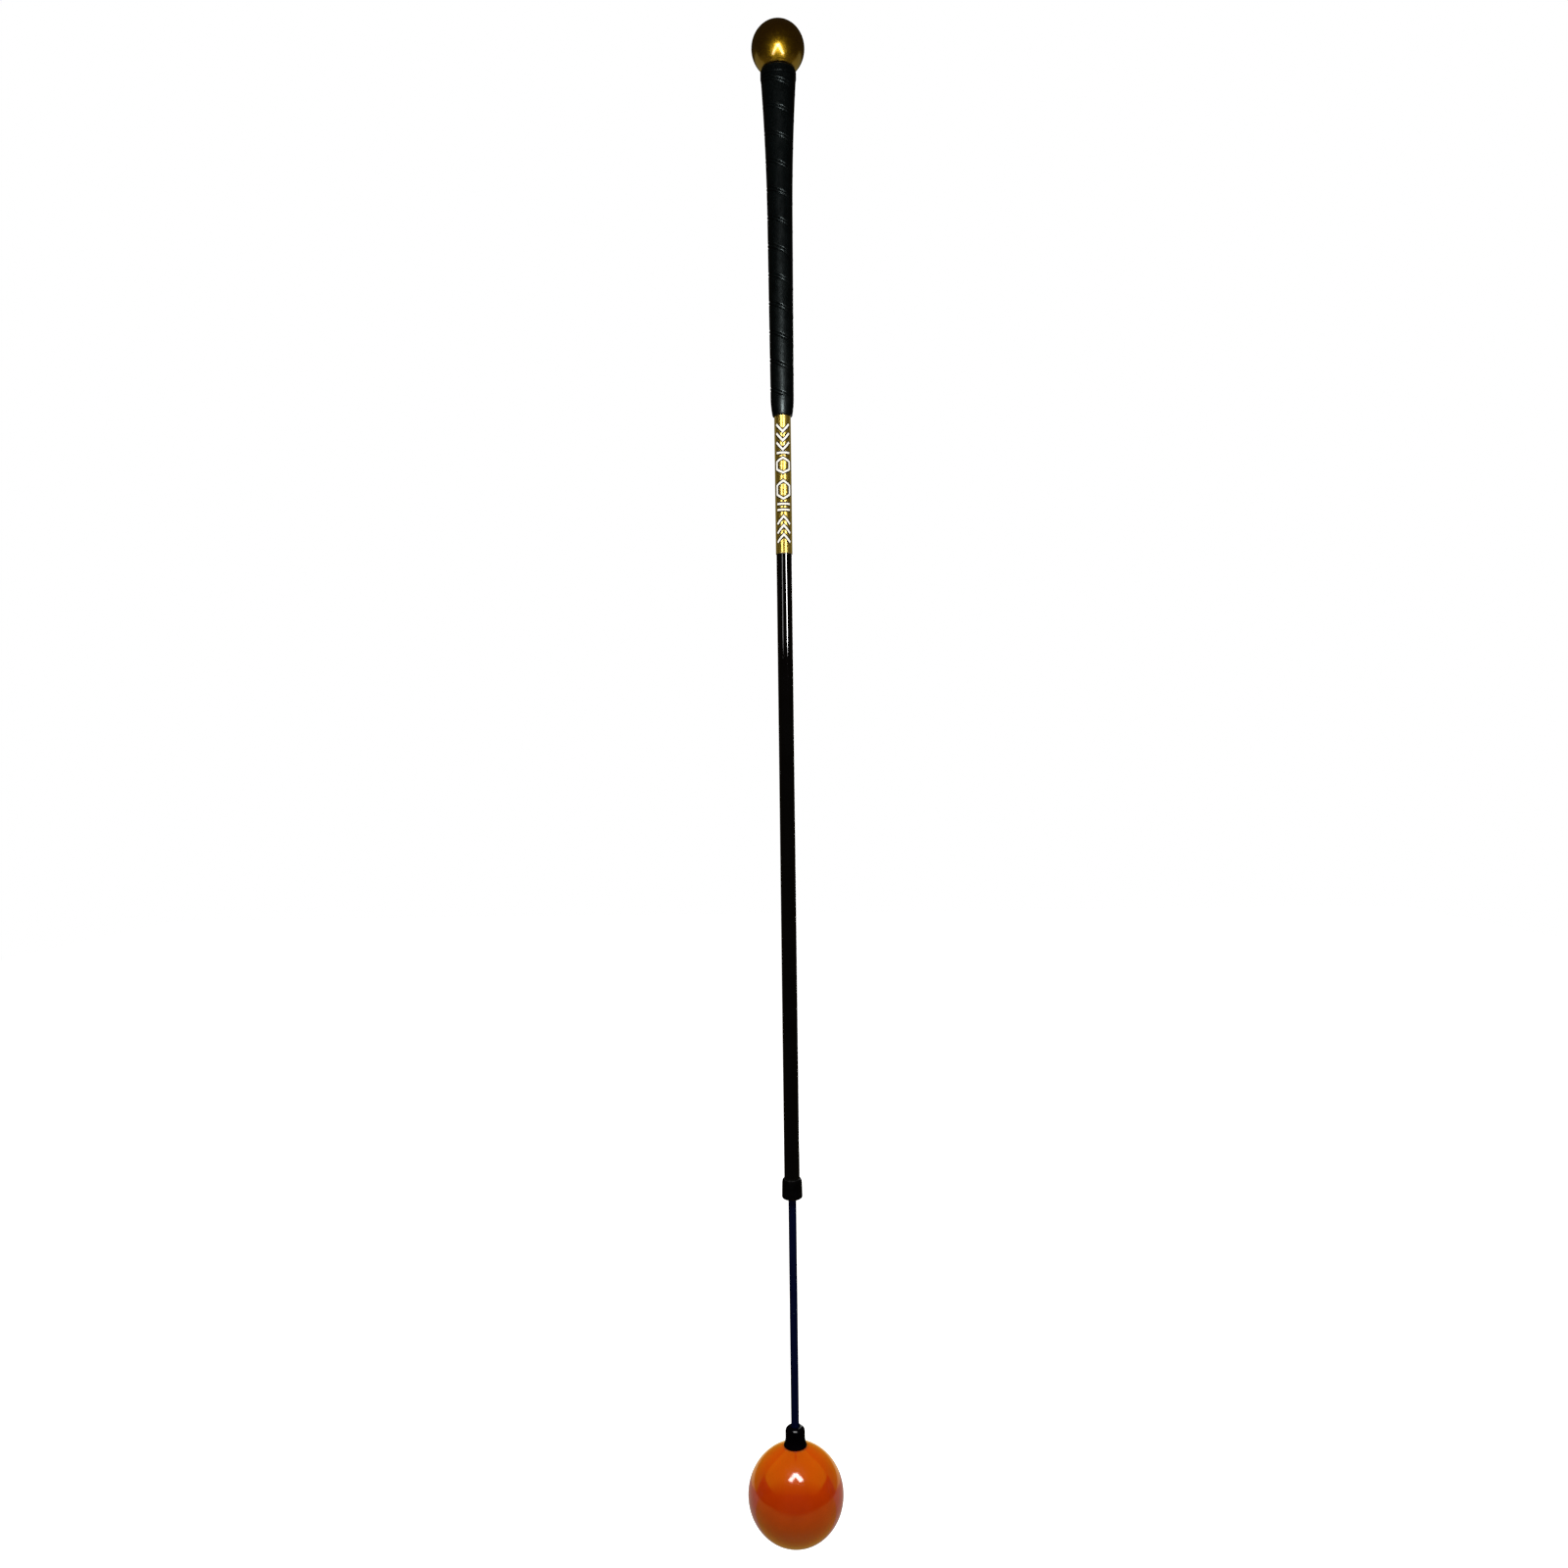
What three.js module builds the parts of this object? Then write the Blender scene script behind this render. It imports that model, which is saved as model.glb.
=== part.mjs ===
// Swing trainer stick: a weighted head ball on a thin flexible rod, a thicker tube, a wrapped
// grip, and a counterweight ball on the butt end.
//
// Millimetres. +Z runs up the stick, from the head ball to the counterweight ball. The origin
// is the middle of the grip, where a hand holds the stick.

import * as THREE from "three";

// ---- Driving dimensions: stations along the stick ----

const GRIP_LENGTH = 248;
const END_CAP_HEIGHT = 6;
const MOUTH_COLLAR_LENGTH = 13;
const LABEL_LENGTH = 99;
const BARE_TUBE_LENGTH = 448.9; // from the label to the tube's end cap
const TUBE_CAP_HEIGHT = 14.4;
const BARE_ROD_LENGTH = 164.1;
const FERRULE_HEIGHT = 13.5;

// ---- Driving dimensions: radii ----

const COUNTERWEIGHT_RADIUS = 19.2;
const END_CAP_RADIUS = 12.9;
const TUBE_RADIUS = 5.55;
const TUBE_BORE_RADIUS = 4;
const LABEL_RADIUS = 5.95;
const TUBE_CAP_RADIUS = 7.4;
const ROD_RADIUS = 2.85;
const FERRULE_RADIUS = 7.05;
const FERRULE_SKIRT_RADIUS = 8.3;
const HEAD_RADIUS = 34.4;
const CORE_RADIUS = 19.4;
const STUD_RADIUS = 4;
const SOCKET_RADIUS = 4.6;
const SOCKET_THREAD_RADIUS = 3;

// Grip outside: a straight taper, with a swell at the butt that fades out down the grip.
const GRIP_RADIUS = 9.7;
const GRIP_TAPER = 0.0056;
const BUTT_SWELL = 3.3;
const BUTT_SWELL_LENGTH = 105;
const MOUTH_DRAW_IN = 1.2;

// ---- Thicknesses and clearances ----

const WRAP_THICKNESS = 1.2;
const TAPE_THICKNESS = 0.2;
const SLIP = 0.1; // radial clearance between sleeves on one axis
const FIT = 0.15; // radial clearance round the rod, stud and socket
const CORE_CLEARANCE = 0.5; // between the core and the shell moulded round it
const FACE_GAP = 0.2; // axial clearance between faces that meet

// ---- Stations worked out from them ----

const GRIP_TOP = GRIP_LENGTH / 2;
const GRIP_MOUTH = -GRIP_LENGTH / 2;
const WRAP_TOP = GRIP_TOP - END_CAP_HEIGHT - FACE_GAP;
const COLLAR_TOP = GRIP_MOUTH + MOUTH_COLLAR_LENGTH;
const LABEL_TOP = GRIP_MOUTH - FACE_GAP;
const LABEL_BOTTOM = LABEL_TOP - LABEL_LENGTH;
const TUBE_CAP_TOP = LABEL_BOTTOM - BARE_TUBE_LENGTH;
const TUBE_CAP_BOTTOM = TUBE_CAP_TOP - TUBE_CAP_HEIGHT;
const FERRULE_TOP = TUBE_CAP_BOTTOM - BARE_ROD_LENGTH;
const FERRULE_BOTTOM = FERRULE_TOP - FERRULE_HEIGHT;

// The head has a low boss under the ferrule, which stands just above the sphere's top.
const BOSS_RADIUS = 8.6;
const BOSS_TOP = FERRULE_BOTTOM - FACE_GAP;
const BOSS_RISE = 0.45;
const HEAD_CENTRE = BOSS_TOP - BOSS_RISE - HEAD_RADIUS;

const ANCHOR_RADIUS = 7.3;
const ANCHOR_TOP = WRAP_TOP - FACE_GAP;
const ANCHOR_LENGTH = 55;
const ANCHOR_BOTTOM = ANCHOR_TOP - ANCHOR_LENGTH;
const ANCHOR_WEB_TOP = ANCHOR_TOP - 22;
const ANCHOR_WEB_BOTTOM = ANCHOR_WEB_TOP - 4;
const TUBE_TOP = ANCHOR_WEB_BOTTOM - FACE_GAP;
const TUBE_BOTTOM = TUBE_CAP_BOTTOM + 3;

const WASHER_THICKNESS = 1;
const WASHER_BOTTOM = GRIP_TOP + FACE_GAP;
const BALL_SEAT = WASHER_BOTTOM + WASHER_THICKNESS + FACE_GAP;
const BALL_CENTRE = GRIP_TOP + 16.5;
const BALL_HOLE_TOP = BALL_CENTRE + 5;

const ROD_TOP = TUBE_CAP_BOTTOM + 126;
const BUSH_LENGTH = 22;

const SOCKET_TOP = BOSS_TOP - 2;
const SOCKET_LENGTH = 27;
const SOCKET_BOTTOM = SOCKET_TOP - SOCKET_LENGTH;
const ROD_BOTTOM = SOCKET_BOTTOM + 3;
const SOCKET_TAIL_BOTTOM = HEAD_CENTRE - 15.5;
const FLANGE_RADIUS = 6.5;
const FLANGE_THICKNESS = 2;
const CORE_SHOULDER = HEAD_CENTRE - 8;
const CORE_FLAT_RADIUS = FLANGE_RADIUS + 0.5; // the seat turned on the core for the flange
const CORE_FLAT = HEAD_CENTRE + Math.sqrt(CORE_RADIUS ** 2 - CORE_FLAT_RADIUS ** 2);
const FLANGE_BOTTOM = CORE_FLAT + FACE_GAP;
const FLANGE_TOP = FLANGE_BOTTOM + FLANGE_THICKNESS;
const COUNTERBORE_RADIUS = 6.3;
const NUT_HEIGHT = 5;
const NUT_CORNER_RADIUS = 5.77;
const LOCK_WASHER_RADIUS = 5.6;

// ---- Fineness of the round pieces ----

const SIDES = 24;
const BALL_SIDES = 32;

// ---- Materials ----

function finish(colour, roughness, metalness = 0) {
  return new THREE.MeshStandardMaterial({ color: colour, roughness, metalness });
}

const goldPaint = () => finish(0x7a620c, 0.32, 0.7);
const goldFoil = () => finish(0xa8862a, 0.25, 0.9);
const gripRubber = () => finish(0x1d2120, 0.5);
const blackGloss = () => finish(0x0a0a0c, 0.12);
const blackPlastic = () => finish(0x121214, 0.35);
const rodGlass = () => finish(0x10121f, 0.2);
const orangeGloss = () => finish(0xd85a08, 0.15);
const brightSteel = () => finish(0xa9abad, 0.3, 1);
const castIron = () => finish(0x55575a, 0.6, 0.9);
const paleTape = () => finish(0xcfc8b4, 0.8);
const naturalPlastic = () => finish(0xd8d5c8, 0.5);

// ---- Outlines: closed loops of [radius, height], anticlockwise with radius to the right ----

// Points of an arc round [centreRadius, centreHeight], between two angles in degrees.
function arc(centreRadius, centreHeight, radiusAcross, radiusAlong, from, to, steps) {
  return Array.from({ length: steps + 1 }, (_, i) => {
    const angle = THREE.MathUtils.degToRad(from + ((to - from) * i) / steps);
    return [
      centreRadius + radiusAcross * Math.cos(angle),
      centreHeight + radiusAlong * Math.sin(angle),
    ];
  });
}

// Points of a curve r = radiusAt(z), between two heights.
function curve(radiusAt, from, to, steps) {
  return Array.from({ length: steps + 1 }, (_, i) => {
    const height = from + ((to - from) * i) / steps;
    return [radiusAt(height), height];
  });
}

// A plain ring's outline, with its two outer edges bevelled.
function ring(inner, outer, bottom, top, bevel = 0) {
  if (bevel === 0) {
    return [[inner, bottom], [outer, bottom], [outer, top], [inner, top]];
  }
  return [
    [inner, bottom],
    [outer - bevel, bottom],
    [outer, bottom + bevel],
    [outer, top - bevel],
    [outer - bevel, top],
    [inner, top],
  ];
}

// Spins an outline about Z. One that starts and ends on the axis is closed already, and any
// other is closed by its first point.
function spin(name, outline, material, sides = SIDES) {
  const onAxis = outline[0][0] === 0 && outline[outline.length - 1][0] === 0;
  const loop = onAxis ? outline : [...outline, outline[0]];
  const points = loop.map(([radius, height]) => new THREE.Vector2(radius, height));
  const geometry = new THREE.LatheGeometry(points, sides);
  geometry.rotateX(Math.PI / 2);
  const mesh = new THREE.Mesh(geometry, material);
  mesh.name = name;
  return mesh;
}

// ---- Butt end: counterweight ball, stud, washer and anchor ----

function counterweightBall() {
  const seatAngle = THREE.MathUtils.radToDeg(
    Math.asin((BALL_SEAT - BALL_CENTRE) / COUNTERWEIGHT_RADIUS),
  );
  const holeRadius = STUD_RADIUS + FIT;
  const outside = arc(
    0, BALL_CENTRE, COUNTERWEIGHT_RADIUS, COUNTERWEIGHT_RADIUS, seatAngle, 90, 12,
  );
  outside[outside.length - 1][0] = 0;
  return spin(
    "counterweight_ball",
    [
      [0, BALL_HOLE_TOP],
      [holeRadius, BALL_HOLE_TOP],
      [holeRadius, BALL_SEAT],
      ...outside,
    ],
    goldPaint(),
    BALL_SIDES,
  );
}

function counterweightWasher() {
  const outline = ring(
    STUD_RADIUS + FIT, 7.5, WASHER_BOTTOM, WASHER_BOTTOM + WASHER_THICKNESS,
  );
  return spin("counterweight_washer", outline, brightSteel());
}

function counterweightStud() {
  const bottom = ANCHOR_WEB_TOP + FACE_GAP;
  const top = BALL_HOLE_TOP - 1;
  const chamfer = 0.8;
  return spin(
    "counterweight_stud",
    [
      [0, bottom],
      [STUD_RADIUS - chamfer, bottom],
      [STUD_RADIUS, bottom + chamfer],
      [STUD_RADIUS, top - chamfer],
      [STUD_RADIUS - chamfer, top],
      [0, top],
    ],
    brightSteel(),
  );
}

// A turned sleeve: a socket for the tube below its web, and the stud's threaded hole above.
function buttAnchor() {
  const socket = TUBE_RADIUS + FIT;
  const thread = STUD_RADIUS + FIT;
  const chamfer = 0.6;
  return spin(
    "butt_anchor",
    [
      [socket, ANCHOR_BOTTOM],
      [ANCHOR_RADIUS - chamfer, ANCHOR_BOTTOM],
      [ANCHOR_RADIUS, ANCHOR_BOTTOM + chamfer],
      [ANCHOR_RADIUS, ANCHOR_TOP - chamfer],
      [ANCHOR_RADIUS - chamfer, ANCHOR_TOP],
      [thread, ANCHOR_TOP],
      [thread, ANCHOR_WEB_TOP],
      [2, ANCHOR_WEB_TOP],
      [2, ANCHOR_WEB_BOTTOM],
      [socket, ANCHOR_WEB_BOTTOM],
    ],
    brightSteel(),
  );
}

// ---- Grip ----

function gripRadius(height) {
  const belowButt = GRIP_TOP - height;
  const swell = Math.max(0, 1 - belowButt / BUTT_SWELL_LENGTH);
  return GRIP_RADIUS - GRIP_TAPER * belowButt + BUTT_SWELL * swell ** 2;
}

function underlistingRadius(height) {
  return gripRadius(height) - WRAP_THICKNESS - SLIP;
}

function mouthRadius(height) {
  const drawn = (COLLAR_TOP - height) / MOUTH_COLLAR_LENGTH;
  return gripRadius(height) - MOUTH_DRAW_IN * drawn ** 2;
}

function gripEndCap() {
  const edge = 1.2;
  const foot = 0.4;
  const bottom = GRIP_TOP - END_CAP_HEIGHT;
  return spin(
    "grip_end_cap",
    [
      [STUD_RADIUS + 0.4, bottom],
      [END_CAP_RADIUS - foot, bottom],
      [END_CAP_RADIUS, bottom + foot],
      ...arc(END_CAP_RADIUS - edge, GRIP_TOP - edge, edge, edge, 0, 90, 4),
      [STUD_RADIUS + 0.4, GRIP_TOP],
    ],
    gripRubber(),
    BALL_SIDES,
  );
}

function gripWrap() {
  const bottom = COLLAR_TOP + FACE_GAP;
  const inside = (height) => gripRadius(height) - WRAP_THICKNESS;
  return spin(
    "grip_wrap",
    [...curve(gripRadius, bottom, WRAP_TOP, 8), ...curve(inside, WRAP_TOP, bottom, 8)],
    gripRubber(),
  );
}

// Wide inside at the top, where it goes over the anchor, and narrow where it grips the tape.
function gripUnderlisting() {
  const bottom = COLLAR_TOP - 6;
  const overAnchor = ANCHOR_RADIUS + SLIP;
  const overTape = TUBE_RADIUS + TAPE_THICKNESS + 2 * SLIP;
  const step = ANCHOR_BOTTOM - FACE_GAP;
  return spin(
    "grip_underlisting",
    [
      ...curve(underlistingRadius, bottom, WRAP_TOP, 8),
      [overAnchor, WRAP_TOP],
      [overAnchor, step],
      [overTape, step],
      [overTape, bottom],
    ],
    gripRubber(),
  );
}

function gripTape() {
  const inner = TUBE_RADIUS + SLIP;
  const outline = ring(
    inner, inner + TAPE_THICKNESS - SLIP / 2, COLLAR_TOP - 6, ANCHOR_BOTTOM - FACE_GAP,
  );
  return spin("grip_tape", outline, paleTape());
}

// Slips over the underlisting's end, then draws in to the tube at the mouth.
function gripMouthCollar() {
  const shoulder = COLLAR_TOP - 6 - FACE_GAP;
  const lip = 0.5;
  const onTube = TUBE_RADIUS + FIT;
  const overEnd = (height) => underlistingRadius(height) + SLIP;
  return spin(
    "grip_mouth_collar",
    [
      [onTube, GRIP_MOUTH],
      [mouthRadius(GRIP_MOUTH) - lip, GRIP_MOUTH],
      ...curve(mouthRadius, GRIP_MOUTH + lip, COLLAR_TOP, 6),
      ...curve(overEnd, COLLAR_TOP, shoulder, 2),
      [onTube, shoulder],
    ],
    gripRubber(),
  );
}

// ---- Shaft ----

function labelSleeve() {
  const outline = ring(TUBE_RADIUS + SLIP, LABEL_RADIUS, LABEL_BOTTOM, LABEL_TOP);
  return spin("label_sleeve", outline, goldFoil());
}

function shaftTube() {
  const outline = ring(TUBE_BORE_RADIUS, TUBE_RADIUS, TUBE_BOTTOM, TUBE_TOP);
  return spin("shaft_tube", outline, blackGloss());
}

// A cup over the tube's end: rounded shoulder above, rounded floor below with the rod's hole.
function tubeEndCap() {
  const hole = ROD_RADIUS + FIT;
  const socket = TUBE_RADIUS + FIT;
  const floorTop = TUBE_BOTTOM - FACE_GAP;
  const floorEdge = 1.8;
  const shoulderHeight = 3.4;
  const shoulderWidth = 1.1;
  const neck = TUBE_CAP_RADIUS - 0.2;
  return spin(
    "tube_end_cap",
    [
      [hole, TUBE_CAP_BOTTOM],
      ...arc(
        TUBE_CAP_RADIUS - floorEdge, TUBE_CAP_BOTTOM + floorEdge,
        floorEdge, floorEdge, -90, 0, 5,
      ),
      ...arc(
        neck - shoulderWidth, TUBE_CAP_TOP - shoulderHeight,
        shoulderWidth, shoulderHeight, 0, 90, 5,
      ),
      [socket, TUBE_CAP_TOP],
      [socket, floorTop],
      [hole, floorTop],
    ],
    blackPlastic(),
  );
}

function rodBush(name, bottom) {
  const outline = ring(
    ROD_RADIUS + SLIP, TUBE_BORE_RADIUS - SLIP, bottom, bottom + BUSH_LENGTH,
  );
  return spin(name, outline, naturalPlastic());
}

function flexRod() {
  return spin(
    "flex_rod",
    [[0, ROD_BOTTOM], [ROD_RADIUS, ROD_BOTTOM], [ROD_RADIUS, ROD_TOP], [0, ROD_TOP]],
    rodGlass(),
  );
}

// ---- Head ----

// A bell: domed shoulder, a slight waist, and a skirt that flares to the head's boss.
function headFerrule() {
  const hole = ROD_RADIUS + FIT;
  const domeTopRadius = 3.65;
  const domeHeight = 3.4;
  const skirtHeight = 6;
  const rim = 0.5;
  const skirtFlare = FERRULE_SKIRT_RADIUS - FERRULE_RADIUS;
  const skirtRadius = (height) => {
    const down = (FERRULE_BOTTOM + skirtHeight - height) / (skirtHeight - rim);
    return FERRULE_RADIUS + skirtFlare * down ** 2;
  };
  return spin(
    "head_ferrule",
    [
      [hole, FERRULE_BOTTOM],
      [FERRULE_SKIRT_RADIUS, FERRULE_BOTTOM],
      ...curve(skirtRadius, FERRULE_BOTTOM + rim, FERRULE_BOTTOM + skirtHeight, 5),
      ...arc(
        domeTopRadius, FERRULE_TOP - domeHeight,
        FERRULE_RADIUS - domeTopRadius, domeHeight, 0, 90, 6,
      ),
      [hole, FERRULE_TOP],
    ],
    blackGloss(),
  );
}

// The ball's outside, from its lowest point to the boss. Its distance from the centre grows a
// little towards the boss, which makes the fillet between them.
function headOutside() {
  const steps = 18;
  const filletAngle = 8;
  const rise = BOSS_TOP - HEAD_CENTRE;
  const bossAngle = THREE.MathUtils.radToDeg(Math.atan2(BOSS_RADIUS, rise));
  const proud = Math.hypot(BOSS_RADIUS, rise) - HEAD_RADIUS;
  return Array.from({ length: steps + 1 }, (_, i) => {
    const fromTop = 180 - ((180 - bossAngle) * i) / steps;
    const distance = HEAD_RADIUS + proud * Math.exp((bossAngle - fromTop) / filletAngle);
    const angle = THREE.MathUtils.degToRad(fromTop);
    const radius = i === 0 ? 0 : distance * Math.sin(angle);
    return [radius, HEAD_CENTRE + distance * Math.cos(angle)];
  });
}

// The shell is moulded round the core, the flange and the socket, so its inside follows them.
function headShell() {
  const bore = SOCKET_RADIUS + FIT;
  const cavity = CORE_RADIUS + CORE_CLEARANCE;
  const recess = FLANGE_RADIUS + FIT;
  const recessTop = FLANGE_TOP + FACE_GAP;
  const recessAngle = THREE.MathUtils.radToDeg(Math.acos(recess / cavity));
  const inside = arc(0, HEAD_CENTRE, cavity, cavity, recessAngle, -90, 10);
  inside[inside.length - 1][0] = 0;
  return spin(
    "head_shell",
    [...headOutside(), [bore, BOSS_TOP], [bore, recessTop], [recess, recessTop], ...inside],
    orangeGloss(),
    BALL_SIDES,
  );
}

// A ball weight, bored for the socket and its thread, and counterbored for the nut.
function headWeightCore() {
  const bore = SOCKET_RADIUS + FIT;
  const threadBore = SOCKET_THREAD_RADIUS + FIT;
  const boreBottom = SOCKET_BOTTOM - FACE_GAP;
  const flatAngle = THREE.MathUtils.radToDeg(Math.acos(CORE_FLAT_RADIUS / CORE_RADIUS));
  const mouthAngle = THREE.MathUtils.radToDeg(Math.acos(COUNTERBORE_RADIUS / CORE_RADIUS));
  const outside = arc(0, HEAD_CENTRE, CORE_RADIUS, CORE_RADIUS, -mouthAngle, flatAngle, 8);
  return spin(
    "head_weight_core",
    [
      ...outside,
      [bore, CORE_FLAT],
      [bore, boreBottom],
      [threadBore, boreBottom],
      [threadBore, CORE_SHOULDER],
      [COUNTERBORE_RADIUS, CORE_SHOULDER],
    ],
    castIron(),
  );
}

// Rod end fitting: a blind socket for the rod, a flange that sits on the core, and a thread.
function rodSocket() {
  const hole = ROD_RADIUS + SLIP;
  return spin(
    "rod_socket",
    [
      [0, SOCKET_TAIL_BOTTOM],
      [SOCKET_THREAD_RADIUS, SOCKET_TAIL_BOTTOM],
      [SOCKET_THREAD_RADIUS, SOCKET_BOTTOM],
      [SOCKET_RADIUS, SOCKET_BOTTOM],
      [SOCKET_RADIUS, FLANGE_BOTTOM],
      [FLANGE_RADIUS, FLANGE_BOTTOM],
      [FLANGE_RADIUS, FLANGE_TOP],
      [SOCKET_RADIUS, FLANGE_TOP],
      [SOCKET_RADIUS, SOCKET_TOP],
      [hole, SOCKET_TOP],
      [hole, ROD_BOTTOM - FACE_GAP],
      [0, ROD_BOTTOM - FACE_GAP],
    ],
    brightSteel(),
  );
}

function lockWasher() {
  const top = CORE_SHOULDER - FACE_GAP;
  const outline = ring(
    SOCKET_THREAD_RADIUS + FIT, LOCK_WASHER_RADIUS, top - WASHER_THICKNESS, top,
  );
  return spin("lock_washer", outline, brightSteel());
}

function lockNut() {
  const top = CORE_SHOULDER - 2 * FACE_GAP - WASHER_THICKNESS;
  const hexagon = new THREE.Shape(
    Array.from({ length: 6 }, (_, i) => {
      const angle = (i * Math.PI) / 3;
      return new THREE.Vector2(Math.cos(angle), Math.sin(angle)).multiplyScalar(NUT_CORNER_RADIUS);
    }),
  );
  const hole = new THREE.Path();
  hole.absarc(0, 0, SOCKET_THREAD_RADIUS + FIT, 0, 2 * Math.PI, true);
  hexagon.holes.push(hole);
  const geometry = new THREE.ExtrudeGeometry(hexagon, {
    depth: NUT_HEIGHT,
    bevelEnabled: false,
    curveSegments: 12,
  });
  const mesh = new THREE.Mesh(geometry, brightSteel());
  mesh.name = "lock_nut";
  mesh.position.z = top - NUT_HEIGHT;
  return mesh;
}

// ---- The stick, in the groups that move together ----

function group(name, ...pieces) {
  const made = new THREE.Group();
  made.name = name;
  made.add(...pieces);
  return made;
}

const stick = group(
  "swing_trainer_stick",
  group(
    "handle",
    counterweightBall(),
    counterweightWasher(),
    counterweightStud(),
    buttAnchor(),
    gripEndCap(),
    gripUnderlisting(),
    gripWrap(),
    gripMouthCollar(),
    gripTape(),
    labelSleeve(),
  ),
  group("tube", shaftTube()),
  group(
    "tip",
    tubeEndCap(),
    rodBush("rod_guide_bush", TUBE_BOTTOM + FACE_GAP),
    rodBush("rod_inner_bush", ROD_TOP - BUSH_LENGTH - 2),
  ),
  group("rod", flexRod()),
  group(
    "head",
    headFerrule(),
    headShell(),
    headWeightCore(),
    rodSocket(),
    lockWasher(),
    lockNut(),
  ),
);

export default stick;
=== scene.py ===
import math

import bmesh
import bpy
from mathutils import Matrix, Vector

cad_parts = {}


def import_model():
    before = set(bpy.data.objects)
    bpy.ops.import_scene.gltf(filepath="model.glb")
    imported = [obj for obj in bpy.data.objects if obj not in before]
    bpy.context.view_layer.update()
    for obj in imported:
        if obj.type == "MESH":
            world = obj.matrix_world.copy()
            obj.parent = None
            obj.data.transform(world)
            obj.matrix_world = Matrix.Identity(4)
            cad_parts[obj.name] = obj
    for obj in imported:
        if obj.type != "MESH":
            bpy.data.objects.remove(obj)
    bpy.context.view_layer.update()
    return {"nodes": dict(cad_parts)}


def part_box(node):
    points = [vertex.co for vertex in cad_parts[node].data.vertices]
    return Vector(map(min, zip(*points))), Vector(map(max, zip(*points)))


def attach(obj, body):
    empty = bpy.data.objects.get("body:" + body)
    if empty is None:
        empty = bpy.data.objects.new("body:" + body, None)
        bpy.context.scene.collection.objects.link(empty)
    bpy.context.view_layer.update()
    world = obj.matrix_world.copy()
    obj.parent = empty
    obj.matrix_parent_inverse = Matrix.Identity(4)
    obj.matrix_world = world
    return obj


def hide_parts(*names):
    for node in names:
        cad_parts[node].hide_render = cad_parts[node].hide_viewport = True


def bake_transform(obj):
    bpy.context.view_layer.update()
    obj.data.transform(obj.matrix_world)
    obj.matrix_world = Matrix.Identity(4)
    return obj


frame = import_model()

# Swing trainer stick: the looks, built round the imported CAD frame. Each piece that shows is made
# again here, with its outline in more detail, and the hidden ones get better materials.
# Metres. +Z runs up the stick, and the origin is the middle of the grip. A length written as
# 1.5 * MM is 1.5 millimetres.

MM = 0.001
SIDES = 96  # round pieces
PIPE_SIDES = 64  # the tube and the rod
HEAD_SIDES = 160
SHARP_ANGLE = 34  # degrees: edges flatter than this are smooth
AXIS = 0.001 * MM  # nearer to the axis than this is on it
BEVEL_GUARD = 1.6  # bevels from a corner to the point that holds the face flat


# ---- Stations and radii, from the CAD frame ----


def low(name):
    """The height of a CAD node's lowest point."""
    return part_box(name)[0].z


def high(name):
    """The height of a CAD node's highest point."""
    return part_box(name)[1].z


def radius(name):
    """The radius of a round CAD node at its widest."""
    lowest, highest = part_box(name)
    return (highest.x - lowest.x) / 2


FIT = 0.15 * MM  # clearance round the stud, tube and rod
SLIP = 0.1 * MM  # clearance between sleeves

GRIP_TOP = high("grip_end_cap")
GRIP_MOUTH = low("grip_mouth_collar")
WRAP_TOP = high("grip_wrap")
WRAP_BOTTOM = low("grip_wrap")
TUBE_RADIUS = radius("shaft_tube")
ROD_RADIUS = radius("flex_rod")

# Grip outside, as in the CAD: a straight taper, with a swell at the butt that fades out.
GRIP_RADIUS = 9.7 * MM
GRIP_TAPER = 0.0056
BUTT_SWELL = 3.3 * MM
BUTT_SWELL_LENGTH = 105 * MM
WRAP_THICKNESS = 1.2 * MM
MOUTH_DRAW_IN = 1.2 * MM


def grip_radius(height):
    below_butt = GRIP_TOP - height
    swell = max(0, 1 - below_butt / BUTT_SWELL_LENGTH)
    return GRIP_RADIUS - GRIP_TAPER * below_butt + BUTT_SWELL * swell**2


def inner_radius(height):
    """Inside the wound strip."""
    return grip_radius(height) - WRAP_THICKNESS


def mouth_radius(height):
    drawn = (WRAP_BOTTOM - height) / (WRAP_BOTTOM - GRIP_MOUTH)
    return grip_radius(height) - MOUTH_DRAW_IN * drawn**2


# ---- Outlines: closed loops of (radius, height), anticlockwise with radius to the right ----


def arc(centre, across, along, start, end, steps):
    """Points of an arc round centre, between two angles in degrees."""
    points = []
    for i in range(steps + 1):
        angle = math.radians(start + (end - start) * i / steps)
        points.append((centre[0] + across * math.cos(angle), centre[1] + along * math.sin(angle)))
    return points


def curve(radius_at, start, end, steps):
    """Points of a curve radius = radius_at(height), between two heights."""
    heights = [start + (end - start) * i / steps for i in range(steps + 1)]
    return [(radius_at(height), height) for height in heights]


def bevelled(corners, bevel, steps=5):
    """The same loop with each corner rounded off, and a point beyond the bevel to hold the face flat."""
    points = []
    count = len(corners)
    for i, corner in enumerate(corners):
        here = Vector(corner)
        before = Vector(corners[i - 1]) - here
        after = Vector(corners[(i + 1) % count]) - here
        if here.x < AXIS:
            points.append(tuple(here))
            continue
        start = here + before.normalized() * bevel
        end = here + after.normalized() * bevel
        points.append(tuple(here + before.normalized() * bevel * BEVEL_GUARD))
        for k in range(steps + 1):
            t = k / steps
            points.append(tuple(start * (1 - t) ** 2 + here * 2 * t * (1 - t) + end * t**2))
        points.append(tuple(here + after.normalized() * bevel * BEVEL_GUARD))
    return points


def divided(start, end, steps):
    """Points from start to end, without the ends."""
    a, b = Vector(start), Vector(end)
    return [tuple(a.lerp(b, i / steps)) for i in range(1, steps)]


# ---- Meshes ----


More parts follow.
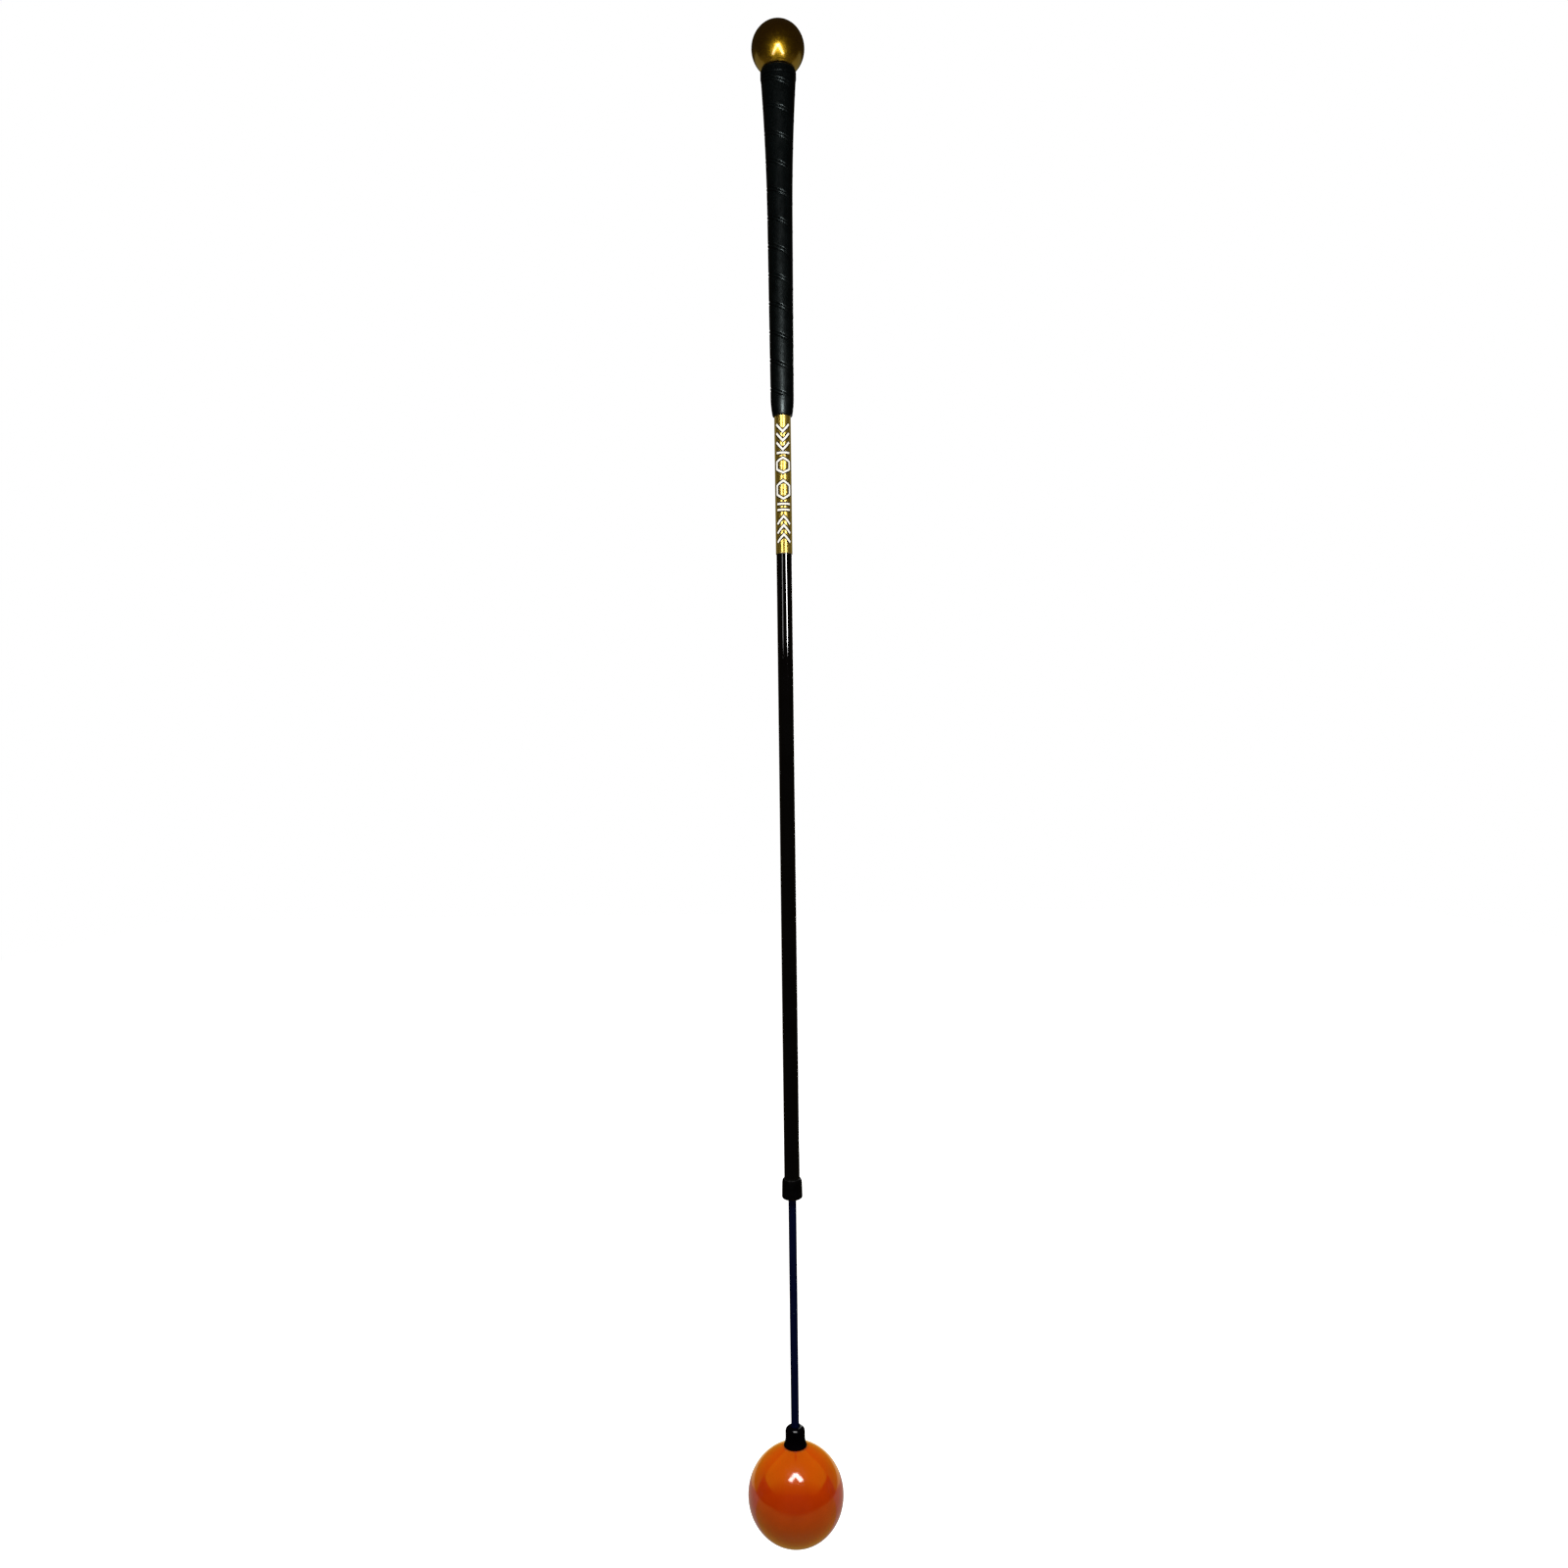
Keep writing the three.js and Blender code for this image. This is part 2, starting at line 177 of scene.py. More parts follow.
def add_object(name, mesh):
    """Makes an object of a bmesh, smooth but for its sharp edges."""
    bmesh.ops.recalc_face_normals(mesh, faces=mesh.faces)
    data = bpy.data.meshes.new(name)
    mesh.to_mesh(data)
    mesh.free()
    data.shade_smooth()
    data.set_sharp_from_angle(angle=math.radians(SHARP_ANGLE))
    made = bpy.data.objects.new(name, data)
    bpy.context.scene.collection.objects.link(made)
    return made


def spin(name, outline, sides=SIDES):
    """A solid spun about Z from a closed outline. A point on the axis becomes a pole."""
    mesh = bmesh.new()
    rings = []
    for across, height in outline:
        if across < AXIS:
            rings.append([mesh.verts.new((0, 0, height))])
            continue
        turns = [2 * math.pi * i / sides for i in range(sides)]
        rings.append([mesh.verts.new((across * math.cos(t), across * math.sin(t), height)) for t in turns])
    for first, second in zip(rings, rings[1:] + rings[:1]):
        if len(first) == 1 and len(second) == 1:
            continue
        for i in range(sides):
            k = (i + 1) % sides
            corners = [ring[j % len(ring)] for ring, j in ((first, i), (first, k), (second, k), (second, i))]
            mesh.faces.new(list(dict.fromkeys(corners)))
    return add_object(name, mesh)


# ---- Material nodes ----

LOOK = "look_"  # keeps the names apart from those of the CAD materials


def plug(tree, socket, value):
    """Links a socket, or sets a plain value on it."""
    if isinstance(value, bpy.types.NodeSocket):
        tree.links.new(value, socket)
    else:
        socket.default_value = value


def node(tree, kind, inputs=None, **settings):
    """Adds a node. inputs gives its sockets' values or links, by name or number."""
    made = tree.nodes.new(kind)
    for key, value in settings.items():
        setattr(made, key, value)
    for name, value in (inputs or {}).items():
        plug(tree, made.inputs[name], value)
    return made


def place(tree, stretch=(1, 1, 1)):
    """Places on the object, in metres times stretch."""
    at = node(tree, "ShaderNodeTexCoord").outputs["Object"]
    return node(tree, "ShaderNodeMapping", {"Vector": at, "Scale": stretch}).outputs["Vector"]


def noise(tree, size, detail, stretch=(1, 1, 1)):
    """Cloudy noise from 0 to 1, with features of about size metres."""
    inputs = {"Vector": place(tree, stretch), "Scale": 1 / size, "Detail": detail}
    return node(tree, "ShaderNodeTexNoise", inputs).outputs[0]


def cells(tree, size):
    """Distance to the nearest cell centre, for dots and flakes of about size metres."""
    inputs = {"Vector": place(tree), "Scale": 1 / size}
    return node(tree, "ShaderNodeTexVoronoi", inputs).outputs["Distance"]


def remap(tree, value, from_range, to_range):
    """Takes value from one range to another, held at both ends."""
    inputs = {
        "Value": value,
        "From Min": from_range[0],
        "From Max": from_range[1],
        "To Min": to_range[0],
        "To Max": to_range[1],
    }
    return node(tree, "ShaderNodeMapRange", inputs).outputs["Result"]


def math_of(tree, operation, first, second=0.0):
    """One Math node's result."""
    return node(tree, "ShaderNodeMath", {0: first, 1: second}, operation=operation).outputs[0]


def ramp(tree, value, stops):
    """A colour from a value: stops are (position, colour)."""
    made = node(tree, "ShaderNodeValToRGB", {"Fac": value})
    elements = made.color_ramp.elements
    while len(elements) < len(stops):
        elements.new(0.5)
    for element, (position, colour) in zip(elements, stops):
        element.position = position
        element.color = (*colour, 1)
    return made.outputs["Color"]


def mixed(tree, factor, first, second):
    """first where factor is 0, second where it is 1. Both are colours."""
    made = node(tree, "ShaderNodeMix", data_type="RGBA")
    plug(tree, made.inputs[0], factor)
    for index, value in ((6, first), (7, second)):
        plug(tree, made.inputs[index], value if isinstance(value, bpy.types.NodeSocket) else (*value, 1))
    return made.outputs[2]


def bump(tree, height, depth, under=None):
    """A normal from a height of 0 to 1 that stands for depth metres, over another normal."""
    inputs = {"Height": height, "Strength": 1.0, "Distance": depth}
    if under is not None:
        inputs["Normal"] = under
    return node(tree, "ShaderNodeBump", inputs).outputs["Normal"]


def near_height(tree, height, reach):
    """1 at one height on the stick, falling to 0 at reach metres above or below it."""
    at = node(tree, "ShaderNodeTexCoord").outputs["Object"]
    z = node(tree, "ShaderNodeSeparateXYZ", {"Vector": at}).outputs["Z"]
    away = math_of(tree, "ABSOLUTE", math_of(tree, "SUBTRACT", z, height))
    return remap(tree, away, (0, reach), (1, 0))


def edge_wear(tree, heights, reach):
    """0 to 1, in patches close to some heights on the stick, where an edge rubs."""
    near = near_height(tree, heights[0], reach)
    for height in heights[1:]:
        near = math_of(tree, "MAXIMUM", near, near_height(tree, height, reach))
    patches = noise(tree, 0.8 * MM, 5)
    return remap(tree, math_of(tree, "MULTIPLY", near, patches), (0.28, 0.5), (0, 1))


def rougher(tree, roughness, wear, amount):
    """The roughness with some more of it where there is wear."""
    return math_of(tree, "ADD", roughness, math_of(tree, "MULTIPLY", wear, amount))


def surface(name, colour, roughness, normal, **plain):
    """A material from linked colour, roughness and normal, and plain numbers on the shader."""
    shader = colour.node.id_data.nodes["Principled BSDF"]
    tree = colour.node.id_data
    plug(tree, shader.inputs["Base Color"], colour)
    plug(tree, shader.inputs["Roughness"], roughness)
    plug(tree, shader.inputs["Normal"], normal)
    for key, value in plain.items():
        shader.inputs[key.replace("_", " ")].default_value = value
    return bpy.data.materials[LOOK + name]


def new_tree(name):
    """The node tree of a new material with that name."""
    made = bpy.data.materials.new(LOOK + name)
    made.use_nodes = True
    return made.node_tree


# ---- Materials ----


def gold_paint():
    tree = new_tree("gold_paint")
    flakes = cells(tree, 0.55 * MM)
    clouds = noise(tree, 9 * MM, 4)
    colour = mixed(
        tree,
        remap(tree, flakes, (0.1, 0.6), (0, 0.65)),
        ramp(tree, clouds, [(0.3, (0.60, 0.35, 0.012)), (0.7, (0.72, 0.43, 0.020))]),
        (0.34, 0.19, 0.004),
    )
    scuffs = noise(tree, 2.5 * MM, 6, (1, 1, 3))
    wear = edge_wear(tree, [low("counterweight_ball")], 1.6 * MM)
    colour = mixed(tree, wear, colour, (0.16, 0.09, 0.012))
    roughness = rougher(tree, remap(tree, scuffs, (0.35, 0.75), (0.28, 0.38)), wear, 0.2)
    peel = bump(tree, noise(tree, 1.6 * MM, 2), 0.004 * MM)
    normal = bump(tree, flakes, 0.0015 * MM, peel)
    lacquer = {"Coat_Weight": 0.8, "Coat_Roughness": 0.12, "Coat_IOR": 1.8}
    return surface("gold_paint", colour, roughness, normal, Metallic=1.0, **lacquer)


def gold_foil():
    tree = new_tree("gold_foil")
    lines = noise(tree, 0.5 * MM, 3, (1, 1, 0.02))
    clouds = noise(tree, 6 * MM, 3)
    colour = mixed(
        tree,
        remap(tree, lines, (0.3, 0.7), (0, 0.12)),
        ramp(tree, clouds, [(0.3, (0.62, 0.42, 0.05)), (0.7, (0.70, 0.49, 0.07))]),
        (0.34, 0.23, 0.04),
    )
    wear = edge_wear(tree, [low("label_sleeve"), high("label_sleeve")], 1.2 * MM)
    colour = mixed(tree, wear, colour, (0.30, 0.24, 0.12))
    roughness = rougher(tree, remap(tree, noise(tree, 4 * MM, 3), (0.3, 0.7), (0.25, 0.30)), wear, 0.2)
    creases = bump(tree, noise(tree, 8 * MM, 2, (1, 1, 0.4)), 0.004 * MM)
    normal = bump(tree, lines, 0.0002 * MM, creases)
    return surface("gold_foil", colour, roughness, normal, Metallic=0.75, Coat_Weight=1.0, Coat_Roughness=0.2)


def white_print_painted_glow():
    tree = new_tree("white_print_painted_glow")
    haze = noise(tree, 1.5 * MM, 4)
    wear = noise(tree, 0.3 * MM, 4)
    colour = mixed(
        tree,
        remap(tree, wear, (0.6, 0.75), (0, 0.25)),
        ramp(tree, haze, [(0.3, (0.82, 0.80, 0.72)), (0.7, (0.90, 0.89, 0.83))]),
        (0.60, 0.54, 0.36),
    )
    roughness = remap(tree, haze, (0.3, 0.7), (0.3, 0.45))
    normal = bump(tree, wear, 0.004 * MM)
    # The white print is also made to glow by emission in its own colour: painted brightness, not a lamp.
    made = surface("white_print_painted_glow", colour, roughness, normal, Emission_Strength=0.7)
    plug(tree, tree.nodes["Principled BSDF"].inputs["Emission Color"], colour)
    return made


def print_black():
    tree = new_tree("print_black")
    haze = noise(tree, 1.5 * MM, 4)
    colour = ramp(tree, haze, [(0.3, (0.006, 0.005, 0.003)), (0.7, (0.014, 0.011, 0.006))])
    roughness = remap(tree, haze, (0.3, 0.7), (0.35, 0.5))
    normal = bump(tree, noise(tree, 0.3 * MM, 4), 0.004 * MM)
    return surface("print_black", colour, roughness, normal)


def grip_rubber():
    tree = new_tree("grip_rubber")
    patches = noise(tree, 14 * MM, 4)
    dots = cells(tree, 0.75 * MM)
    polish = noise(tree, 3 * MM, 5, (1, 1, 0.5))
    colour = mixed(
        tree,
        remap(tree, dots, (0.1, 0.5), (0.25, 0)),
        ramp(tree, patches, [(0.3, (0.0005, 0.0013, 0.0016)), (0.7, (0.0012, 0.0026, 0.0030))]),
        (0.0035, 0.0055, 0.006),
    )
    wear = edge_wear(tree, [GRIP_TOP, GRIP_MOUTH], 1.6 * MM)
    colour = mixed(tree, wear, colour, (0.010, 0.011, 0.011))
    roughness = rougher(tree, remap(tree, polish, (0.3, 0.7), (0.30, 0.41)), wear, 0.2)
    pores = bump(tree, remap(tree, dots, (0.05, 0.45), (1, 0)), 0.03 * MM)
    normal = bump(tree, noise(tree, 0.35 * MM, 4), 0.02 * MM, pores)
    return surface("grip_rubber", colour, roughness, normal, Specular_IOR_Level=0.2)


def black_gloss():
    tree = new_tree("black_gloss")
    haze = noise(tree, 20 * MM, 5)
    scratches = noise(tree, 0.6 * MM, 2, (1, 1, 0.03))
    colour = ramp(tree, haze, [(0.3, (0.0008, 0.0009, 0.0012)), (0.7, (0.0022, 0.0024, 0.0030))])
    wear = edge_wear(tree, [low("label_sleeve"), high("tube_end_cap")], 3 * MM)
    colour = mixed(tree, wear, colour, (0.006, 0.006, 0.006))
    roughness = rougher(tree, remap(tree, haze, (0.3, 0.75), (0.03, 0.06)), wear, 0.12)
    normal = bump(tree, scratches, 0.0001 * MM)
    return surface("black_gloss", colour, roughness, normal, Coat_Weight=0.4, Coat_Roughness=0.03)


def ferrule_black():
    tree = new_tree("ferrule_black")
    haze = noise(tree, 6 * MM, 4)
    colour = ramp(tree, haze, [(0.3, (0.0010, 0.0006, 0.0016)), (0.7, (0.0026, 0.0018, 0.0034))])
    wear = edge_wear(tree, [low("head_ferrule")], 0.9 * MM)
    colour = mixed(tree, wear, colour, (0.012, 0.006, 0.005))
    roughness = rougher(tree, remap(tree, haze, (0.3, 0.7), (0.10, 0.18)), wear, 0.25)
    normal = bump(tree, noise(tree, 0.4 * MM, 3), 0.002 * MM)
    return surface("ferrule_black", colour, roughness, normal, Specular_IOR_Level=0.08)


def black_plastic():
    tree = new_tree("black_plastic")
    haze = noise(tree, 4 * MM, 5)
    grain = noise(tree, 0.22 * MM, 3)
    colour = ramp(tree, haze, [(0.3, (0.0012, 0.0012, 0.0015)), (0.7, (0.0035, 0.0035, 0.004))])
    wear = edge_wear(tree, [low("tube_end_cap"), high("tube_end_cap")], 1.2 * MM)
    colour = mixed(tree, wear, colour, (0.010, 0.010, 0.010))
    roughness = rougher(tree, remap(tree, haze, (0.3, 0.7), (0.26, 0.38)), wear, 0.2)
    normal = bump(tree, grain, 0.008 * MM)
    return surface("black_plastic", colour, roughness, normal, Specular_IOR_Level=0.2)


def rod_glass_fibre():
    tree = new_tree("rod_glass_fibre")
    strands = noise(tree, 0.35 * MM, 3, (1, 1, 0.01))
    haze = noise(tree, 12 * MM, 4)
    colour = mixed(
        tree,
        remap(tree, strands, (0.35, 0.7), (0, 0.6)),
        ramp(tree, haze, [(0.3, (0.0016, 0.0040, 0.030)), (0.7, (0.0030, 0.0070, 0.044))]),
        (0.006, 0.010, 0.060),
    )
    roughness = remap(tree, haze, (0.3, 0.7), (0.12, 0.22))
    normal = bump(tree, strands, 0.003 * MM)
    return surface("rod_glass_fibre", colour, roughness, normal, Specular_IOR_Level=0.1)


def orange_gloss():
    tree = new_tree("orange_gloss")
    clouds = noise(tree, 18 * MM, 3)
    mottle = noise(tree, 1.2 * MM, 5)
    colour = mixed(
        tree,
        remap(tree, mottle, (0.35, 0.7), (0, 0.18)),
        ramp(tree, clouds, [(0.3, (0.86, 0.060, 0.0)), (0.7, (0.96, 0.078, 0.0))]),
        (0.76, 0.046, 0.0),
    )
    wear = edge_wear(tree, [high("head_shell")], 1.4 * MM)
    colour = mixed(tree, wear, colour, (0.45, 0.05, 0.005))
    roughness = rougher(tree, remap(tree, noise(tree, 5 * MM, 6), (0.35, 0.75), (0.11, 0.16)), wear, 0.2)
    normal = bump(tree, noise(tree, 3 * MM, 2), 0.008 * MM)
    return surface("orange_gloss", colour, roughness, normal, Coat_Weight=0.5, Coat_Roughness=0.04)


def bright_steel():
    tree = new_tree("bright_steel")
    turning = noise(tree, 0.2 * MM, 3, (0.05, 0.05, 1))
    clouds = noise(tree, 3 * MM, 4)
    colour = ramp(tree, clouds, [(0.3, (0.50, 0.50, 0.51)), (0.7, (0.62, 0.62, 0.62))])
    roughness = remap(tree, clouds, (0.3, 0.7), (0.22, 0.4))
    normal = bump(tree, turning, 0.004 * MM)
    return surface("bright_steel", colour, roughness, normal, Metallic=1.0)


def core_iron():
    tree = new_tree("core_iron")
    grit = noise(tree, 0.8 * MM, 6)
    colour = ramp(tree, grit, [(0.3, (0.10, 0.095, 0.09)), (0.7, (0.22, 0.21, 0.20))])
    roughness = remap(tree, grit, (0.3, 0.7), (0.5, 0.75))
    normal = bump(tree, grit, 0.06 * MM)
    return surface("core_iron", colour, roughness, normal, Metallic=0.8)


def bush_plastic():
    tree = new_tree("bush_plastic")
    haze = noise(tree, 3 * MM, 4)
    colour = ramp(tree, haze, [(0.3, (0.60, 0.58, 0.50)), (0.7, (0.72, 0.70, 0.62))])
    roughness = remap(tree, haze, (0.3, 0.7), (0.4, 0.55))
    normal = bump(tree, noise(tree, 0.25 * MM, 3), 0.008 * MM)
    return surface("bush_plastic", colour, roughness, normal, Subsurface_Weight=0.05)


def grip_tape_paper():
    tree = new_tree("grip_tape_paper")
    fibres = noise(tree, 0.4 * MM, 5, (1, 1, 0.3))
    colour = ramp(tree, fibres, [(0.3, (0.52, 0.47, 0.36)), (0.7, (0.68, 0.64, 0.53))])
    roughness = remap(tree, fibres, (0.3, 0.7), (0.7, 0.9))
    normal = bump(tree, fibres, 0.03 * MM)
    return surface("grip_tape_paper", colour, roughness, normal)


def grip_core_rubber():
    tree = new_tree("grip_core_rubber")
    patches = noise(tree, 2 * MM, 5)
    colour = ramp(tree, patches, [(0.3, (0.035, 0.035, 0.034)), (0.7, (0.060, 0.060, 0.058))])
    roughness = remap(tree, patches, (0.3, 0.7), (0.7, 0.9))
    normal = bump(tree, patches, 0.04 * MM)
    return surface("grip_core_rubber", colour, roughness, normal)


MATERIAL_MAKERS = (
    gold_paint, gold_foil, white_print_painted_glow, print_black,
    grip_rubber, grip_core_rubber, grip_tape_paper,
    black_gloss, ferrule_black, black_plastic, bush_plastic,
    rod_glass_fibre, orange_gloss, core_iron, bright_steel,
)
MATERIALS = {maker.__name__: maker() for maker in MATERIAL_MAKERS}


def finish_piece(made, slot, stands_for=(), material=None):
    """Gives a piece a material, the one named by material or else by slot, and hides the CAD nodes that it
    stands for.
    """
    made.data.materials.append(MATERIALS[material or slot])
    if stands_for:
        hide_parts(*stands_for)
    return made


# ---- Butt end ----


def counterweight_ball():
    ball = radius("counterweight_ball")
    centre = high("counterweight_ball") - ball
    seat = low("counterweight_ball")
    hole = radius("counterweight_stud") + FIT
    hole_top = high("counterweight_stud") + 1 * MM
    lip = 0.35 * MM
    seat_angle = math.degrees(math.asin((seat + lip - centre) / ball))
    seat_edge = ball * math.cos(math.radians(seat_angle))
    outline = [
        (0, hole_top),
        (hole, hole_top),
        (hole, seat + lip),
        (hole + lip, seat),
        (seat_edge - 2 * lip, seat),
        (seat_edge - lip * 0.8, seat + lip * 0.15),
        *arc((0, centre), ball, ball, seat_angle, 90, 40)[:-1],
        (0, centre + ball),
    ]
    made = finish_piece(spin("counterweight_ball_gold", outline), "gold_paint", ["counterweight_ball"])
    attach(made, "handle")


def counterweight_washer():
    bottom, top = low("counterweight_washer"), high("counterweight_washer")
    inner, outer = radius("counterweight_stud") + FIT, radius("counterweight_washer")
    corners = [(inner, bottom), (outer, bottom), (outer, top), (inner, top)]
    washer = spin("counterweight_washer_round", bevelled(corners, 0.2 * MM))
    made = finish_piece(washer, "bright_steel", ["counterweight_washer"])
    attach(made, "handle")


def grip_end_cap():
    bottom, top = low("grip_end_cap"), high("grip_end_cap")
    across = radius("grip_end_cap")
    hole = radius("counterweight_stud") + 0.4 * MM
    edge = 1.2 * MM
    foot = 0.4 * MM
    outline = [
        (hole, bottom),
        (across - foot - 0.3 * MM, bottom),
        *arc((across - foot, bottom + foot), foot, foot, -90, 0, 5),
        (across, bottom + 2 * foot),
        (across, top - edge * 1.5),
        *arc((across - edge, top - edge), edge, edge, 0, 90, 8),
        (across - edge - 0.4 * MM, top),
        (hole, top),
    ]
    made = finish_piece(spin("grip_end_cap_round", outline), "grip_rubber", ["grip_end_cap"])
    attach(made, "handle")


# ---- Grip wrap: one strip wound down the grip, with a pressed seam where its turns meet ----

SEAM_FIRST = 112 * MM  # where the seam first crosses the front
SEAM_PITCH = 20.7 * MM
SEAM_EASE = 6.1 * MM  # the first turns are closer together
SEAM_EASE_TURNS = 2.5
GROOVE_APART = 2.4 * MM
GROOVE_DEPTH = 0.42 * MM
GROOVE_REACH = 0.3 * MM
WELT_HEIGHT = 0.1 * MM
WELT_REACH = 0.7 * MM
FRONT = -math.pi / 2  # the side that faces -Y


def seam_height(turn):
    """The seam's height after so many turns round the grip from the front."""
    eased = SEAM_EASE * (1 - math.exp(-turn / SEAM_EASE_TURNS))
    return SEAM_FIRST - SEAM_PITCH * turn + eased


def hump(distance, reach):
    """1 at no distance, and nearly 0 beyond twice the reach."""
    return math.exp(-((distance / reach) ** 2))


def seam_relief(distance):
    """How far the wrap stands out, at a distance along the stick from the seam's middle."""
    grooves = sum(hump(distance + side * GROOVE_APART / 2, GROOVE_REACH) for side in (-1, 1))
    return WELT_HEIGHT * hump(distance, WELT_REACH) - GROOVE_DEPTH * grooves


# Distances from a seam's middle at which the mesh has points, close together over the grooves.
SEAM_STEPS = [value * MM for value in (0, 0.35, 0.65, 0.85, 1.0, 1.1, 1.2, 1.3, 1.4, 1.55, 1.8, 2.3)]
PLAIN_STEPS = 6  # between one seam's last point and the next seam's first


def strip_offsets(pitch):
    """Distances down the strip from one seam to the next: close at the seams, wide between them."""
    first = SEAM_STEPS
    last = [pitch - value for value in reversed(SEAM_STEPS)]
    gap = last[0] - first[-1]
    between = [first[-1] + gap * i / PLAIN_STEPS for i in range(1, PLAIN_STEPS)]
    return first + between + last


WRAP_SIDES = 72
WRAP_TURNS = range(-2, 14)  # turns of the strip, counted from the seam's first crossing
INSIDE_STEPS = 30
END_REACH = 0.12 * MM  # nearer to an end than this is on it


def seam_distance(turn, height):
    """How far a height is from the nearest seam, on the side of the grip that this turn faces."""
    return min(abs(height - seam_height(turn % 1 + n)) for n in WRAP_TURNS)


def wrap_vertex(mesh, turn, height, across):
    angle = FRONT + 2 * math.pi * turn
    return mesh.verts.new((across * math.cos(angle), across * math.sin(angle), height))


def wrap_ring(mesh, height, radius_at):
    """A ring round the grip. radius_at gives the radius from the turn."""
    turns = [i / WRAP_SIDES for i in range(WRAP_SIDES)]
    return [wrap_vertex(mesh, turn, height, radius_at(turn)) for turn in turns]


def outer_radius(turn, height):
    return grip_radius(height) + seam_relief(seam_distance(turn, height))


def wrap_faces(mesh, here, there):
    """Faces between two columns of vertices. Where both have reached an end there is none."""
    for i in range(len(here) - 1):
        corners = list(dict.fromkeys((here[i], here[i + 1], there[i + 1], there[i])))
        if len(corners) > 2:
            mesh.faces.new(corners)


def grip_wrap():
    """The strip's outside is a row of columns, each from the seam down to the seam one turn later.

    Column k ends where column k + WRAP_SIDES starts. The ends of the grip are two plain rings,
    which cut the first and last turns off.
    """
    mesh = bmesh.new()
    top = wrap_ring(mesh, WRAP_TOP, lambda turn: outer_radius(turn, WRAP_TOP))
    bottom = wrap_ring(mesh, WRAP_BOTTOM, lambda turn: outer_radius(turn, WRAP_BOTTOM))
    columns = []
    for g in range(WRAP_TURNS[0] * WRAP_SIDES, WRAP_TURNS[-1] * WRAP_SIDES):
        turn = g / WRAP_SIDES
        start = seam_height(turn)
        column = []
        for offset in strip_offsets(start - seam_height(turn + 1))[:-1]:
            height = start - offset
            if height > WRAP_TOP - END_REACH:
                column.append(top[g % WRAP_SIDES])
            elif height < WRAP_BOTTOM + END_REACH:
                column.append(bottom[g % WRAP_SIDES])
            else:
                column.append(wrap_vertex(mesh, turn, height, outer_radius(turn, height)))
        columns.append(column)
    for k in range(len(columns) - 1 - WRAP_SIDES):
        here = columns[k] + [columns[k + WRAP_SIDES][0]]
        there = columns[k + 1] + [columns[k + 1 + WRAP_SIDES][0]]
        wrap_faces(mesh, here, there)
    heights = [WRAP_TOP + (WRAP_BOTTOM - WRAP_TOP) * i / INSIDE_STEPS for i in range(INSIDE_STEPS + 1)]
    inside = [wrap_ring(mesh, height, lambda turn: inner_radius(height)) for height in heights]
    rings = [top, *inside, bottom]
    for i in range(WRAP_SIDES):
        k = (i + 1) % WRAP_SIDES
        wrap_faces(mesh, [ring[i] for ring in rings], [ring[k] for ring in rings])
    made = finish_piece(add_object("grip_wrap_spiral", mesh), "grip_rubber", ["grip_wrap"])
    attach(made, "handle")


def grip_mouth_collar():
    shoulder = high("grip_mouth_collar")
    lip = 0.5 * MM
    chamfer = 0.2 * MM
    step_edge = 0.4 * MM  # round the step where the strip ends
    step_across = mouth_radius(WRAP_BOTTOM) - step_edge
    on_tube = TUBE_RADIUS + FIT
    over_end = curve(inner_radius, WRAP_BOTTOM, shoulder, 2)
    bottom = GRIP_MOUTH
    corner = mouth_radius(bottom) - lip
    outline = [
        (on_tube + chamfer, bottom),
        (corner - chamfer, bottom),
        *arc((corner, bottom + lip), lip, lip, -90, 0, 6),
        *curve(mouth_radius, bottom + lip * 1.5, WRAP_BOTTOM - 1.5 * step_edge, 16),
        *arc((step_across, WRAP_BOTTOM - step_edge), step_edge, step_edge, 0, 90, 4),
        *over_end,
        (on_tube, shoulder),
        (on_tube, bottom + chamfer),
    ]
    made = finish_piece(spin("grip_mouth_collar_round", outline), "grip_rubber", ["grip_mouth_collar"])
    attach(made, "handle")


# ---- Shaft ----


def label_sleeve():
    bottom, top = low("label_sleeve"), high("label_sleeve")
    inner, outer = TUBE_RADIUS + SLIP, radius("label_sleeve")
    corners = [(inner, bottom), (outer, bottom), (outer, top), (inner, top)]
    sleeve = spin("label_sleeve_foil", bevelled(corners, 0.08 * MM, 3))
    made = finish_piece(sleeve, "gold_foil", ["label_sleeve"])
    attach(made, "handle")


# A printed pattern of chevrons, bars and hexagons. Its paths are points of (across, down) in
# millimetres, and down starts at PRINT_TOP, so these sizes are in millimetres too.
PRINT_TOP = 6.6 * MM  # below the sleeve's top edge
PRINT_LENGTH = 84.6
PRINT_HALF = 4.9  # half the pattern's width
PRINT_POINT = 5.5  # how far down a chevron's point is from its arms
PRINT_CHEVRONS = (0, 6.5, 13)
PRINT_BARS = (20.6, 57.2, 61.4)
PRINT_HEXAGONS = ((24.2, 35.0), (40.7, 53.6))
PRINT_SHOULDER = 0.25  # of a hexagon's length, from its point to its straight side
PRINT_STEP = 0.4 * MM
PRINT_COLUMNS = 6  # faces across a stroke


def print_paths():
    """The pattern's paths, each with whether it closes on itself."""
    half = PRINT_HALF
    paths = []
    for down in PRINT_CHEVRONS:
        paths.append(([(-half, down), (0, down + PRINT_POINT), (half, down)], False))
        up = PRINT_LENGTH - down
        paths.append(([(-half, up), (0, up - PRINT_POINT), (half, up)], False))
    for down in PRINT_BARS:
        paths.append(([(-half, down), (half, down)], False))
    for first, last in PRINT_HEXAGONS:
        corner = (last - first) * PRINT_SHOULDER
        sides = [(half, first + corner), (half, last - corner), (0, last)]
        others = [(-half, last - corner), (-half, first + corner), (0, first)]
        paths.append((sides + others, True))
    return paths


